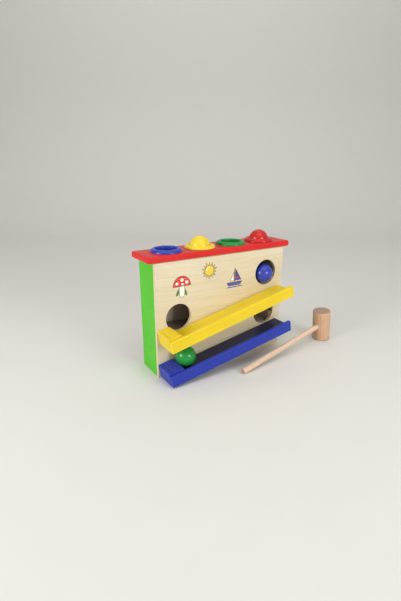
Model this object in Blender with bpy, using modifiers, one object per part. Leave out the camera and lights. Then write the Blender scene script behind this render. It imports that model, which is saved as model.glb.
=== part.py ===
"""Ball pounding toy: a wooden case with gripping rings, a ball run, balls and a mallet.

Metres. +X runs along the case to the right, -Y is the front and +Z is up.
The origin is the centre of the base board's underside.
A ball pounded through a ring rolls to the right on the upper chute, out of the upper hole, to the left
down the yellow ramp, in at the left hole, to the right on the lower chute, out of the lower hole and
down the blue ramp to its landing.
"""

import math

import bmesh
import bpy
from mathutils import Matrix, Vector

MM = 0.001

# Stock sizes. The ball sets every width in its run.
BALL_D = 30.0 * MM
BOARD_T = 9.0 * MM
PLY_T = 5.0 * MM
STRIP_T = 5.0 * MM
DOWEL_D = 5.0 * MM

# Clearances.
GLUE_GAP = 0.3 * MM
GRIP_GAP = 0.4 * MM
REST_GAP = 0.3 * MM

# Case.
CASE_W = 225.0 * MM
CASE_H = 167.0 * MM
CASE_ROOM = 11.0 * MM
TOP_OVERHANG_X = 10.0 * MM
TOP_OVERHANG_Y = 2.0 * MM
TOP_ROUND = 2.6 * MM
BOARD_ROUND = 0.8 * MM
EDGE_ROUND = 0.5 * MM

# Rings, each turned from one profile. The end gap keeps the outer ones clear of the end boards.
RING_END_GAP = 2.85 * MM
RING_OD = 45.0 * MM
RING_RISE = 4.7 * MM
RING_WALL = 2.6 * MM
RING_LIP_R = 2.0 * MM
SNAP_RISE = 0.9 * MM
SNAP_H = 2.8 * MM
SNAP_LAND = 0.9 * MM
SNAP_CHAMFER = 0.9 * MM
THROAT_CHAMFER = 0.7 * MM
BALL_LIFT = 2.0 * MM

# Holes in the front panel: gap to the end boards, and height of each centre.
HOLE_ROOM = 10.0 * MM
HOLE_END_GAP = 5.5 * MM
UPPER_HOLE_Z = 130.0 * MM
LEFT_HOLE_Z = 86.0 * MM
LOWER_HOLE_Z = 64.0 * MM

# Chutes inside the case. Each falls to the right and leans to the front. The lift is above the lower
# edge of the hole that a chute leads to, and the drop keeps a ball from rolling back out of the left hole.
UPPER_CHUTE_SLOPE = math.radians(5.5)
CHUTE_LEAN = math.radians(4.0)
CHUTE_LIFT = 2.0 * MM
CHUTE_DROP = 5.0 * MM

# Wedges. Each stops a ball in line with its hole and turns it to the front.
WEDGE_STOP = 1.0 * MM
WEDGE_TURN = math.radians(14.0)
WEDGE_H = 16.0 * MM

# Ramps on the front panel. Steps are below the edge of the hole that a ball comes out of. The yellow ramp
# leans to the panel and stands above the left hole's edge, and its landing stops a ball just left of that
# hole's centre, so the ball rolls in. A landing stands above the lip, so that a fast ball doesn't climb it.
RAMP_ROOM = 4.0 * MM
LIP_H = 17.0 * MM
RAMP_RIGHT_GAP = 9.5 * MM
YELLOW_STEP = 9.5 * MM
YELLOW_LEAN = math.radians(3.0)
SILL_RISE = 1.8 * MM
LANDING_ASIDE = 2.0 * MM
BLUE_STEP = 0.5 * MM
BLUE_FOOT = 1.2 * MM
STOP_RISE = 2.5 * MM
LANDING_FACE = math.radians(75.0)

# Balls at rest: the blue one behind the panel's face in the upper hole, the green one right of the left hole.
BLUE_BALL_IN = 5.5 * MM
GREEN_BALL_ASIDE = 1.8 * MM

# Dowels: how deep each end goes.
TOP_DOWEL_UP = 5.0 * MM
TOP_DOWEL_DOWN = 15.0 * MM
BASE_DOWEL_OUT = 6.0 * MM
BASE_DOWEL_IN = 10.0 * MM
RAMP_DOWEL_IN = 12.0 * MM
DOWEL_SPREAD = 12.0 * MM
RAMP_DOWEL_SPREAD = 45.0 * MM

# Mallet, resting on the rim of its head and the end of its handle.
HEAD_D = 29.0 * MM
HEAD_L = 52.0 * MM
HEAD_ROUND = 2.0 * MM
HANDLE_D = 9.0 * MM
HANDLE_REACH = 196.0 * MM
HANDLE_ROUND = 1.6 * MM
HANDLE_PAST = 8.0 * MM
MALLET_ASIDE = 76.5 * MM
MALLET_BACK = 12.5 * MM
MALLET_YAW = math.radians(188.5)

# Sizes that follow from the ones above.
BALL_R = BALL_D / 2
CASE_D = BALL_D + CASE_ROOM + 2 * PLY_T
FRONT_Y = -CASE_D / 2
INNER_Y = CASE_D / 2 - PLY_T
WALL_Y = INNER_Y - GLUE_GAP
INNER_X = CASE_W / 2 - BOARD_T
WALL_X = INNER_X - GLUE_GAP
TOP_LOW = CASE_H + GLUE_GAP
TOP_HIGH = TOP_LOW + BOARD_T
THROAT_R = BALL_R + GRIP_GAP
SLEEVE_R = THROAT_R + RING_WALL
HOLE_R = (BALL_D + HOLE_ROOM) / 2
HOLE_X = INNER_X - HOLE_R - HOLE_END_GAP
UPPER_HOLE = (HOLE_X, UPPER_HOLE_Z)
LEFT_HOLE = (-HOLE_X, LEFT_HOLE_Z)
LOWER_HOLE = (HOLE_X, LOWER_HOLE_Z)
RAMP_W = BALL_D + RAMP_ROOM + STRIP_T
REST_R = BALL_R + REST_GAP
GREEN_BALL_X = LEFT_HOLE[0] + GREEN_BALL_ASIDE
MALLET_AT = (CASE_W / 2 + MALLET_ASIDE, FRONT_Y - RAMP_W + MALLET_BACK)

# How finely round shapes are drawn, and where two faces count as one edge.
ROUND_SIDES = 40
HANDLE_SIDES = 24
DOWEL_SIDES = 16
BALL_SIDES = 28
BALL_RINGS = 14
COLLAR_STEPS = 6
CURVE_STEPS = 4
SHARP_ANGLE = math.radians(40.0)
MERGE_GAP = 0.01 * MM

# Paint, plastic and bare wood, as sRGB.
RED = "D4303A"
GREEN = "5FC13E"
YELLOW = "EDCB38"
BLUE = "3F49AE"
LEAF = "2F9A4B"
PLY = "E6CFA6"
BEECH = "D9AC83"
HARDBOARD = "6B5140"
RING_COLOURS = (("blue", BLUE), ("yellow", YELLOW), ("green", LEAF), ("red", RED))
BALL_ROUGH = 0.2
PLASTIC_ROUGH = 0.25
GLOSS_ROUGH = 0.3
PAINT_ROUGH = 0.35
PLY_ROUGH = 0.5
HARDBOARD_ROUGH = 0.55
BEECH_ROUGH = 0.55


def clear_scene():
    """Take every object out of the open scene."""
    for obj in list(bpy.data.objects):
        bpy.data.objects.remove(obj, do_unlink=True)


def collection(name):
    """Add a collection to the scene."""
    group = bpy.data.collections.new(name)
    bpy.context.scene.collection.children.link(group)
    return group


def surface(name, hex_colour, roughness):
    """A Principled material from an sRGB colour."""
    channels = []
    for start in (0, 2, 4):
        value = int(hex_colour[start:start + 2], 16) / 255
        channels.append(value / 12.92 if value <= 0.04045 else ((value + 0.055) / 1.055) ** 2.4)
    material = bpy.data.materials.new(name)
    material.use_nodes = True
    shader = material.node_tree.nodes["Principled BSDF"]
    shader.inputs["Base Color"].default_value = (*channels, 1.0)
    shader.inputs["Roughness"].default_value = roughness
    shader.inputs["Metallic"].default_value = 0.0
    return material


class Shop:
    """Where finished parts and cutters are put."""

    def __init__(self):
        self.parts = collection("ball_pounding_toy")
        self.cutters = collection("cutters")

    def empty(self, name, location, rotation=(0.0, 0.0, 0.0)):
        """A frame that other objects are placed in."""
        obj = bpy.data.objects.new(name, None)
        obj.location = location
        obj.rotation_euler = rotation
        self.parts.objects.link(obj)
        return obj

    def part(self, name, bm, colour, roughness, parent=None, location=(0.0, 0.0, 0.0)):
        """Turn a bmesh into a named part with its own material."""
        mesh = bpy.data.meshes.new(name)
        bm.to_mesh(mesh)
        bm.free()
        obj = bpy.data.objects.new(name, mesh)
        mesh.materials.append(surface(name + "_surface", colour, roughness))
        obj.parent = parent
        obj.location = location
        self.parts.objects.link(obj)
        return obj

    def cutter(self, name, bm, parent=None):
        """Turn a bmesh into a cutter, which isn't a part."""
        mesh = bpy.data.meshes.new(name)
        bm.to_mesh(mesh)
        bm.free()
        obj = bpy.data.objects.new(name, mesh)
        obj.parent = parent
        obj.hide_render = True
        obj.display_type = "WIRE"
        self.cutters.objects.link(obj)
        return obj


def block(low, high):
    """A bmesh box between two corners."""
    bm = bmesh.new()
    low = Vector(low)
    high = Vector(high)
    size = high - low
    place = Matrix.Translation((low + high) / 2) @ Matrix.Diagonal((*size, 1.0))
    bmesh.ops.create_cube(bm, size=1.0, matrix=place)
    return bm


def rod(start, end, radius, sides):
    """A bmesh cylinder between two points."""
    bm = bmesh.new()
    start = Vector(start)
    end = Vector(end)
    along = end - start
    aim = along.to_track_quat("Z", "Y").to_matrix().to_4x4()
    bmesh.ops.create_cone(
        bm,
        cap_ends=True,
        segments=sides,
        radius1=radius,
        radius2=radius,
        depth=along.length,
        matrix=Matrix.Translation((start + end) / 2) @ aim,
    )
    return bm


def slice_off(bm, point, normal):
    """Cut away what lies on the normal's side of a plane and close the cut."""
    everything = bm.verts[:] + bm.edges[:] + bm.faces[:]
    bmesh.ops.bisect_plane(bm, geom=everything, plane_co=point, plane_no=normal, clear_outer=True)
    rim = [edge for edge in bm.edges if edge.is_boundary]
    bmesh.ops.holes_fill(bm, edges=rim)
    bmesh.ops.recalc_face_normals(bm, faces=bm.faces[:])


def round_edges(obj, radius, segments=2):
    """Round the sharp edges with a Bevel modifier."""
    bevel = obj.modifiers.new("round", "BEVEL")
    bevel.width = radius
    bevel.segments = segments
    bevel.limit_method = "ANGLE"
    bevel.angle_limit = SHARP_ANGLE


def cut(obj, cutter):
    """Take a cutter out of an object."""
    boolean = obj.modifiers.new("cut_" + cutter.name, "BOOLEAN")
    boolean.operation = "DIFFERENCE"
    boolean.solver = "EXACT"
    boolean.object = cutter


def smooth(obj):
    """Shade round faces smooth and keep real edges sharp."""
    obj.data.shade_smooth()
    obj.data.set_sharp_from_angle(angle=SHARP_ANGLE)


def quarter(centre, radius, first):
    """Points on a quarter circle that turns clockwise from the first angle in degrees."""
    points = []
    for i in range(CURVE_STEPS + 1):
        angle = math.radians(first - 90.0 * i / CURVE_STEPS)
        points.append((centre[0] + radius * math.cos(angle), centre[1] + radius * math.sin(angle)))
    return points


def turn(obj, steps):
    """Revolve a profile with a Screw modifier."""
    screw = obj.modifiers.new("turn", "SCREW")
    screw.axis = "Z"
    screw.angle = math.tau
    screw.steps = steps
    screw.render_steps = steps
    screw.use_merge_vertices = True
    screw.merge_threshold = MERGE_GAP
    screw.use_smooth_shade = True


def profile(points, closed):
    """A chain of edges in the XZ plane."""
    bm = bmesh.new()
    verts = [bm.verts.new((x, 0.0, z)) for x, z in points]
    for first, second in zip(verts, verts[1:]):
        bm.edges.new((first, second))
    if closed:
        bm.edges.new((verts[-1], verts[0]))
    return bm


class Slope:
    """A sloped board's top line in the XZ plane, through one point. Rises to the right when positive."""

    def __init__(self, x, z, angle):
        self.x = x
        self.z = z
        self.angle = angle

    def height(self, x):
        return self.z + (x - self.x) * math.tan(self.angle)

    def along(self, x):
        """Distance along the slope from its point to the place above x."""
        return (x - self.x) / math.cos(self.angle)

    def rotation(self):
        return (0.0, -self.angle, 0.0)


def ring_x(index):
    """X of a ring, counted from the left and spread evenly between the end boards."""
    outer = INNER_X - SLEEVE_R - SNAP_RISE - RING_END_GAP
    return outer * (2 * index / (len(RING_COLOURS) - 1) - 1)


def upper_chute_line():
    """The upper chute falls to the upper hole."""
    return Slope(UPPER_HOLE[0], UPPER_HOLE[1] - HOLE_R + CHUTE_LIFT, -UPPER_CHUTE_SLOPE)


def lower_chute_line():
    """The lower chute falls from below the left hole to the lower hole."""
    high = LEFT_HOLE[1] - HOLE_R - CHUTE_DROP
    low = LOWER_HOLE[1] - HOLE_R + CHUTE_LIFT
    angle = math.atan2(high - low, LOWER_HOLE[0] - LEFT_HOLE[0])
    return Slope(LOWER_HOLE[0], low, -angle)


def yellow_line():
    """The yellow ramp falls from below the upper hole to just above the left hole's edge."""
    high = UPPER_HOLE[1] - HOLE_R - YELLOW_STEP
    low = LEFT_HOLE[1] - HOLE_R + SILL_RISE
    return Slope(UPPER_HOLE[0], high, math.atan2(high - low, UPPER_HOLE[0] - LEFT_HOLE[0]))


def blue_line():
    """The blue ramp falls from the lower hole until its end nearly reaches the table."""
    high = LOWER_HOLE[1] - HOLE_R - BLUE_STEP
    low = BLUE_FOOT + BOARD_T
    return Slope(LOWER_HOLE[0], high, math.atan2(high - low, LOWER_HOLE[0] + CASE_W / 2))


def make_case(shop):
    """Panels, end boards and base, glued round the inside of the run."""
    half_w = CASE_W / 2
    front = shop.part(
        "front_panel",
        block((-half_w, FRONT_Y, 0.0), (half_w, FRONT_Y + PLY_T, CASE_H)),
        PLY,
        PLY_ROUGH,
    )
    for name, centre in (("upper", UPPER_HOLE), ("left", LEFT_HOLE), ("lower", LOWER_HOLE)):
        start = (centre[0], FRONT_Y - PLY_T, centre[1])
        end = (centre[0], FRONT_Y + 2 * PLY_T, centre[1])
        cut(front, shop.cutter(name + "_hole", rod(start, end, HOLE_R, ROUND_SIDES)))
    back = shop.part(
        "back_panel",
        block((-WALL_X, -FRONT_Y - PLY_T, 0.0), (WALL_X, -FRONT_Y, CASE_H)),
        HARDBOARD,
        HARDBOARD_ROUGH,
    )
    round_edges(back, EDGE_ROUND)
    ends = {}
    for name, side in (("left", -1), ("right", 1)):
        inner = side * INNER_X
        outer = side * half_w
        low = (min(inner, outer), -WALL_Y, 0.0)
        high = (max(inner, outer), -FRONT_Y, CASE_H)
        ends[side] = shop.part(name + "_end_board", block(low, high), GREEN, PAINT_ROUGH)
        round_edges(ends[side], EDGE_ROUND)
    base = shop.part(
        "base_board",
        block((-WALL_X, -WALL_Y, 0.0), (WALL_X, WALL_Y, BOARD_T)),
        PLY,
        PLY_ROUGH,
    )
    round_edges(base, EDGE_ROUND)
    return front, ends, base


def make_top(shop):
    """Top board with a round hole for each ring's sleeve."""
    half_x = CASE_W / 2 + TOP_OVERHANG_X
    half_y = CASE_D / 2 + TOP_OVERHANG_Y
    board = shop.part(
        "top_board",
        block((-half_x, -half_y, TOP_LOW), (half_x, half_y, TOP_HIGH)),
        RED,
        GLOSS_ROUGH,
    )
    round_edges(board, TOP_ROUND, CURVE_STEPS)
    for index in range(len(RING_COLOURS)):
        start = (ring_x(index), 0.0, TOP_LOW - BOARD_T)
        end = (ring_x(index), 0.0, TOP_HIGH + BOARD_T)
        hole = rod(start, end, SLEEVE_R + GLUE_GAP, ROUND_SIDES)
        cut(board, shop.cutter("ring_hole_%d" % index, hole))
    return board


def ring_profile():
    """Half section of a ring, from the board's top face: rounded collar, throat, sleeve and snap bead."""
    flange_r = RING_OD / 2
    top_r = THROAT_R + RING_LIP_R
    points = []
    shoulder = RING_RISE - GLUE_GAP
    for i in range(COLLAR_STEPS + 1):
        angle = math.radians(90.0 - 90.0 * i / COLLAR_STEPS)
        r = top_r + (flange_r - top_r) * math.cos(angle)
        points.append((r, GLUE_GAP + shoulder * math.sin(angle)))
    under = -BOARD_T - 2 * GLUE_GAP
    points.append((SLEEVE_R, GLUE_GAP))
    points.append((SLEEVE_R, under))
    points.append((SLEEVE_R + SNAP_RISE, under))
    points.append((SLEEVE_R + SNAP_RISE, under - SNAP_LAND))
    points.append((SLEEVE_R - SNAP_CHAMFER, under - SNAP_H))
    points.append((THROAT_R + THROAT_CHAMFER, under - SNAP_H))
    points.append((THROAT_R, under))
    lip = quarter((top_r, RING_RISE - RING_LIP_R), RING_LIP_R, 180.0)
    points.extend(lip[:-1])
    return points


def make_rings(shop):
    """Four flexible collars that grip a ball round its widest part."""
    for index, (name, colour) in enumerate(RING_COLOURS):
        ring = shop.part(
            name + "_ring",
            profile(ring_profile(), True),
            colour,
            PLASTIC_ROUGH,
            location=(ring_x(index), 0.0, TOP_HIGH),
        )
        turn(ring, ROUND_SIDES)


def chute_level(line, x, y):
    """Height of a chute's upper face, which falls along its line and leans to the front."""
    return line.height(x) + (y + INNER_Y) * math.tan(CHUTE_LEAN)


def lean_onto(bm, line):
    """Lift a flat shape onto a chute's plane and leave its sides upright."""
    for vert in bm.verts:
        vert.co.z += chute_level(line, vert.co.x, vert.co.y)


def chute(shop, name, line):
    """A board trimmed flush to the walls, and the wedge that turns the ball out of the hole."""
    board = block((-WALL_X, -WALL_Y, -PLY_T), (WALL_X, WALL_Y, 0.0))
    lean_onto(board, line)
    round_edges(shop.part(name, board, HARDBOARD, HARDBOARD_ROUGH), EDGE_ROUND)
    ball = Vector((line.x + WEDGE_STOP, FRONT_Y + PLY_T / 2, 0.0))
    to_ball = Vector((-math.cos(WEDGE_TURN), -math.sin(WEDGE_TURN), 0.0))
    wedge = block((line.x, -WALL_Y, GLUE_GAP), (WALL_X, WALL_Y, WEDGE_H))
    slice_off(wedge, ball - BALL_R * to_ball, to_ball)
    lean_onto(wedge, line)
    shop.part(name + "_wedge", wedge, HARDBOARD, HARDBOARD_ROUGH)


def ramp(shop, name, line, lean, ball_x, colour, front):
    """Floor, front lip, end cap and landing, doweled to the front panel.

    The landing stands above the lip, and its steep face stops a ball above ball_x.
    """
    sine = math.sin(line.angle)
    rise = LIP_H - BOARD_T
    stop = rise + STOP_RISE
    frame = shop.empty(name + "_frame", (line.x, FRONT_Y, line.z), line.rotation())
    left = line.along(-CASE_W / 2 + stop * sine)
    right = line.along(CASE_W / 2 - RAMP_RIGHT_GAP)
    near = -GLUE_GAP
    far = -RAMP_W + STRIP_T + GLUE_GAP
    inside = left + STRIP_T + GLUE_GAP
    edge = line.along(ball_x + REST_R * sine) - math.sqrt(REST_R ** 2 - (REST_R - stop) ** 2)
    foot = edge + stop / math.tan(LANDING_FACE)
    bm = block((foot + GLUE_GAP, far, -BOARD_T), (right, near, 0.0))
    for vert in bm.verts:
        vert.co.z -= vert.co.y * math.tan(lean)
    floor = shop.part(name + "_floor", bm, colour, PAINT_ROUGH, parent=frame)
    round_edges(floor, EDGE_ROUND)
    lip = shop.part(
        name + "_lip",
        block((left, -RAMP_W, -BOARD_T), (right, -RAMP_W + STRIP_T, rise)),
        colour,
        PAINT_ROUGH,
        parent=frame,
    )
    round_edges(lip, BOARD_ROUND)
    cap = shop.part(
        name + "_end_cap",
        block((left, far, -BOARD_T), (left + STRIP_T, near, stop)),
        colour,
        PAINT_ROUGH,
        parent=frame,
    )
    round_edges(cap, EDGE_ROUND)
    bm = block((inside, far, -BOARD_T), (foot, near, stop))
    slice_off(bm, Vector((edge, 0.0, stop)), Vector((math.sin(LANDING_FACE), 0.0, math.cos(LANDING_FACE))))
    landing = shop.part(name + "_landing", bm, colour, PAINT_ROUGH, parent=frame)
    round_edges(landing, EDGE_ROUND)
    for index, x in enumerate((-RAMP_DOWEL_SPREAD, 0.0, RAMP_DOWEL_SPREAD)):
        at = line.along(x)
        inner = (at, PLY_T, -BOARD_T / 2)
        outer = (at, near - RAMP_DOWEL_IN, -BOARD_T / 2)
        past = (at, 2 * PLY_T, -BOARD_T / 2)
        deep = (at, near - RAMP_DOWEL_IN - GLUE_GAP, -BOARD_T / 2)
        bore = shop.cutter(
            "%s_bore_%d" % (name, index + 1),
            rod(deep, past, DOWEL_D / 2 + GLUE_GAP, DOWEL_SIDES),
            parent=frame,
        )
        cut(floor, bore)
        cut(front, bore)
        dowel = shop.part(
            "%s_dowel_%d" % (name, index + 1),
            rod(outer, inner, DOWEL_D / 2, DOWEL_SIDES),
            BEECH,
            BEECH_ROUGH,
            parent=frame,
        )
        smooth(dowel)


def make_balls(shop, upper, blue):
    """Two balls gripped by rings, one on its way out of the upper hole and one at rest on the blue ramp."""
    ring_z = TOP_HIGH + BALL_LIFT
    hole_y = FRONT_Y + BLUE_BALL_IN
    off_chute = REST_R * math.hypot(1.0, math.tan(upper.angle), math.tan(CHUTE_LEAN))
    hole_z = chute_level(upper, UPPER_HOLE[0], hole_y) + off_chute
    green_z = blue.height(GREEN_BALL_X) + REST_R / math.cos(blue.angle)
    places = (
        ("yellow_ball", YELLOW, (ring_x(1), 0.0, ring_z)),
        ("red_ball", RED, (ring_x(3), 0.0, ring_z)),
        ("blue_ball", BLUE, (UPPER_HOLE[0], hole_y, hole_z)),
        ("green_ball", LEAF, (GREEN_BALL_X, FRONT_Y - REST_R, green_z)),
    )
    for name, colour, place in places:
        bm = bmesh.new()
        bmesh.ops.create_uvsphere(bm, u_segments=BALL_SIDES, v_segments=BALL_RINGS, radius=BALL_R)
        ball = shop.part(name, bm, colour, BALL_ROUGH, location=place)
        smooth(ball)


def make_case_dowels(shop, top, ends, base):
    """Blind dowels that hold the top board and the base to the end boards."""
    for word, side in (("left", -1), ("right", 1)):
        for place, y in (("front", -DOWEL_SPREAD), ("back", DOWEL_SPREAD)):
            x = side * (CASE_W - BOARD_T) / 2
            low = CASE_H - TOP_DOWEL_DOWN
            high = TOP_LOW + TOP_DOWEL_UP
            name = "top_dowel_%s_%s" % (word, place)
            start = (x, y, low - GLUE_GAP)
            end = (x, y, high + GLUE_GAP)
            bore = shop.cutter(name + "_bore", rod(start, end, DOWEL_D / 2 + GLUE_GAP, DOWEL_SIDES))
            cut(top, bore)
            cut(ends[side], bore)
            pin = rod((x, y, low), (x, y, high), DOWEL_D / 2, DOWEL_SIDES)
            smooth(shop.part(name, pin, BEECH, BEECH_ROUGH))
            z = BOARD_T / 2
            outer = side * (INNER_X + BASE_DOWEL_OUT)
            inner = side * (WALL_X - BASE_DOWEL_IN)
            name = "base_dowel_%s_%s" % (word, place)
            start = (inner - side * GLUE_GAP, y, z)
            end = (outer + side * GLUE_GAP, y, z)
            bore = shop.cutter(name + "_bore", rod(start, end, DOWEL_D / 2 + GLUE_GAP, DOWEL_SIDES))
            cut(base, bore)
            cut(ends[side], bore)
            pin = rod((inner, y, z), (outer, y, z), DOWEL_D / 2, DOWEL_SIDES)
            smooth(shop.part(name, pin, BEECH, BEECH_ROUGH))


def mallet_rest():
    """Tilt of the mallet and height of its head's centre when it lies on a table."""
    across = HEAD_L / 2 - HEAD_ROUND - HANDLE_D / 2
    along = HANDLE_REACH - HANDLE_ROUND - (HEAD_D / 2 - HEAD_ROUND)
    tilt = math.atan2(across, along) + math.asin(HEAD_ROUND / math.hypot(across, along))
    height = (HANDLE_REACH - HANDLE_ROUND) * math.sin(tilt) + HANDLE_D / 2 * math.cos(tilt)
    return tilt, height


def make_mallet(shop):
    """Turned head with a blind bore for the dowel handle."""
    tilt, height = mallet_rest()
    frame = shop.empty("mallet_frame", (*MALLET_AT, height), (0.0, tilt, MALLET_YAW))
    half = HEAD_L / 2
    inset = HEAD_D / 2 - HEAD_ROUND
    points = [(0.0, half)]
    points.extend(quarter((inset, half - HEAD_ROUND), HEAD_ROUND, 90.0))
    points.extend(quarter((inset, HEAD_ROUND - half), HEAD_ROUND, 0.0))
    points.append((0.0, -half))
    head = shop.part("mallet_head", profile(points, False), BEECH, BEECH_ROUGH, parent=frame)
    turn(head, ROUND_SIDES)
    start = (-HANDLE_PAST - GLUE_GAP, 0.0, 0.0)
    bore = rod(start, (HEAD_D, 0.0, 0.0), HANDLE_D / 2 + GLUE_GAP, HANDLE_SIDES)
    cut(head, shop.cutter("handle_bore", bore, parent=frame))
    edge = HANDLE_D / 2 - HANDLE_ROUND
    points = [(0.0, HANDLE_REACH)]
    points.extend(quarter((edge, HANDLE_REACH - HANDLE_ROUND), HANDLE_ROUND, 90.0))
    points.append((HANDLE_D / 2, -HANDLE_PAST))
    points.append((0.0, -HANDLE_PAST))
    handle = shop.part("mallet_handle", profile(points, False), BEECH, BEECH_ROUGH, parent=frame)
    handle.rotation_euler = (0.0, math.pi / 2, 0.0)
    turn(handle, HANDLE_SIDES)


def main():
    """Build the whole toy."""
    clear_scene()
    shop = Shop()
    front, ends, base = make_case(shop)
    top = make_top(shop)
    make_rings(shop)
    make_case_dowels(shop, top, ends, base)
    upper = upper_chute_line()
    chute(shop, "upper_chute", upper)
    chute(shop, "lower_chute", lower_chute_line())
    yellow = yellow_line()
    blue = blue_line()
    ramp(shop, "yellow_ramp", yellow, YELLOW_LEAN, LEFT_HOLE[0] - LANDING_ASIDE, YELLOW, front)
    ramp(shop, "blue_ramp", blue, 0.0, GREEN_BALL_X, BLUE, front)
    round_edges(front, EDGE_ROUND, 1)
    make_balls(shop, upper, blue)
    make_mallet(shop)
    bpy.context.view_layer.update()


main()
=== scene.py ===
"""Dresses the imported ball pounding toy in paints, woods, plastics and prints, and sets a studio round it."""

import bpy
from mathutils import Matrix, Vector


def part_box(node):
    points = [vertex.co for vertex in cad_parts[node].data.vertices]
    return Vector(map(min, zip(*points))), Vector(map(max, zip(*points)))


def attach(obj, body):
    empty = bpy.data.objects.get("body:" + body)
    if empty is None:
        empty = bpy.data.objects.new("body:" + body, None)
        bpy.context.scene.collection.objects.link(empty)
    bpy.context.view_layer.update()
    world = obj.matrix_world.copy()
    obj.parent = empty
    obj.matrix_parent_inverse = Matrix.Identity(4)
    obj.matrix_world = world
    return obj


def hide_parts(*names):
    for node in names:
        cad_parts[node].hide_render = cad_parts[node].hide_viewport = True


bl_info = {
    "name": "Ball Pounding Toy Finish",
    "version": (1, 0, 0),
    "blender": (4, 5, 0),
    "location": "3D View > Sidebar > Pounding Toy",
    "description": "Gives the packed ball pounding toy its paints, woods, plastics and prints",
    "category": "Object",
}

import math

import bmesh
import bpy
from bpy.props import FloatProperty, FloatVectorProperty, IntProperty, PointerProperty
from mathutils import Matrix, Vector

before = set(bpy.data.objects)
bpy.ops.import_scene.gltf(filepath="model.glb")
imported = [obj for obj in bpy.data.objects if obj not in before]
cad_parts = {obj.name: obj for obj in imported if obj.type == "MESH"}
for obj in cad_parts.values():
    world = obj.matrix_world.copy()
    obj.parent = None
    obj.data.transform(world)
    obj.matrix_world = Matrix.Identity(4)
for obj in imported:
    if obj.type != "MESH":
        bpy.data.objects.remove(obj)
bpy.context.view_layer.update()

MM = 0.001

# Points of a node's copy that are nearer than this are one point.
WELD = 0.004 * MM
# Faces that turn less than the first angle are one flat face, and edges that turn more than the second
# stay sharp.
FLAT_TURN = math.radians(0.5)
SHARP_TURN = math.radians(42.0)
# Two directions whose cosine is past this are taken as the same.
SAME_WAY = 0.8
QUARTER_TURN = math.radians(90.0)

UP = Vector((0.0, 0.0, 1.0))
BACK = Vector((0.0, 1.0, 0.0))
RIGHT = Vector((1.0, 0.0, 0.0))

SHADER = "Principled BSDF"
# The sockets of a Mix node that mixes colours, which share their names with others, and its settings.
SHARE = 0
FIRST = 6
SECOND = 7
MIX = {"out": 2, "data_type": "RGBA"}
# Nearly all of a noise lies between these values.
SPAN = {"From Min": 0.3, "From Max": 0.7}
# The wave texture makes one wave in this length at scale 1.
WAVE_LENGTH = math.pi / 10
# The heart of the tree lies this far to the sides of a turned piece's middle.
PITH = (0.0, 16.0 * MM, 21.0 * MM)

RAMP_PIECES = ("floor", "lip", "end_cap", "landing")
RUN_PIECES = ("upper_chute", "lower_chute", "upper_chute_wedge", "lower_chute_wedge")
RING_NAMES = ("blue", "yellow", "green", "red")
# Each ball's axis on the lathe: how far it leans from upright and how far that turns round, in degrees.
BALL_TILTS = {"yellow": (25.0, 40.0), "red": (-30.0, 55.0), "blue": (70.0, 25.0), "green": (40.0, 115.0)}
# Rings and balls whose colour isn't that of the boards.
LOOSE_COLOURS = {"green": "leaf", "red": "ruby"}

# Pins along the top and the bottom of the back panel, and between them up each side.
PIN_COLUMNS = 5
PIN_ROWS = 2
# The flat top of a pin head, as a share of its width.
PIN_TOP = 0.7

INK_NAMES = ("ink", "chalk", "red", "yellow", "blue", "leaf")
# The lowest ink starts this many layers off the wood, so that the two faces don't meet.
INK_GAP = 0.7
SUN_RAYS = 14
# Directions on a print.
PRINT_UP = (0.0, 1.0)
PRINT_DOWN = (0.0, -1.0)
PRINT_LEFT = (-1.0, 0.0)
PRINT_RIGHT = (1.0, 0.0)

# The lamps, in metres: where each hangs, its width and height, and the point that it looks at.
TOY_MIDDLE = (0.0, 0.0, 0.09)
LAMPS = {
    "left_lamp": ((-1.22, -0.14, 0.43), (0.4, 0.45), TOY_MIDDLE),
    "right_lamp": ((0.22, -1.25, 0.4), (0.5, 0.4), TOY_MIDDLE),
    "top_lamp": ((-0.05, -0.45, 1.15), (1.1, 0.8), TOY_MIDDLE),
    "wall_lamp": ((0.62, 1.0, 2.2), (1.8, 0.4), (0.95, 1.53, 0.9)),
}
# The camera sees what is farther than this, in metres.
CLIP_START = 0.01


def linear(code):
    """The linear colour of an sRGB hex value."""
    parts = [int(code[at:at + 2], 16) / 255 for at in (0, 2, 4)]
    return tuple(c / 12.92 if c <= 0.04045 else ((c + 0.055) / 1.055) ** 2.4 for c in parts)


def colour(name, description, code):
    """A colour property, given as an sRGB hex value."""
    return FloatVectorProperty(
        name=name, description=description, subtype="COLOR", size=3, min=0.0, max=1.0, default=linear(code)
    )


def length(name, description, millimetres):
    """A length property, given in millimetres."""
    return FloatProperty(
        name=name, description=description, default=millimetres * MM, min=0.0, precision=5, unit="LENGTH"
    )


def power(name, description, watts):
    """A power property, given in watts."""
    return FloatProperty(name=name, description=description, default=watts, min=0.0, unit="POWER")


def point(name, description, *millimetres):
    """A place property, given in millimetres."""
    place = tuple(value * MM for value in millimetres)
    return FloatVectorProperty(
        name=name, description=description, default=place, precision=5, subtype="XYZ", unit="LENGTH"
    )


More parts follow.
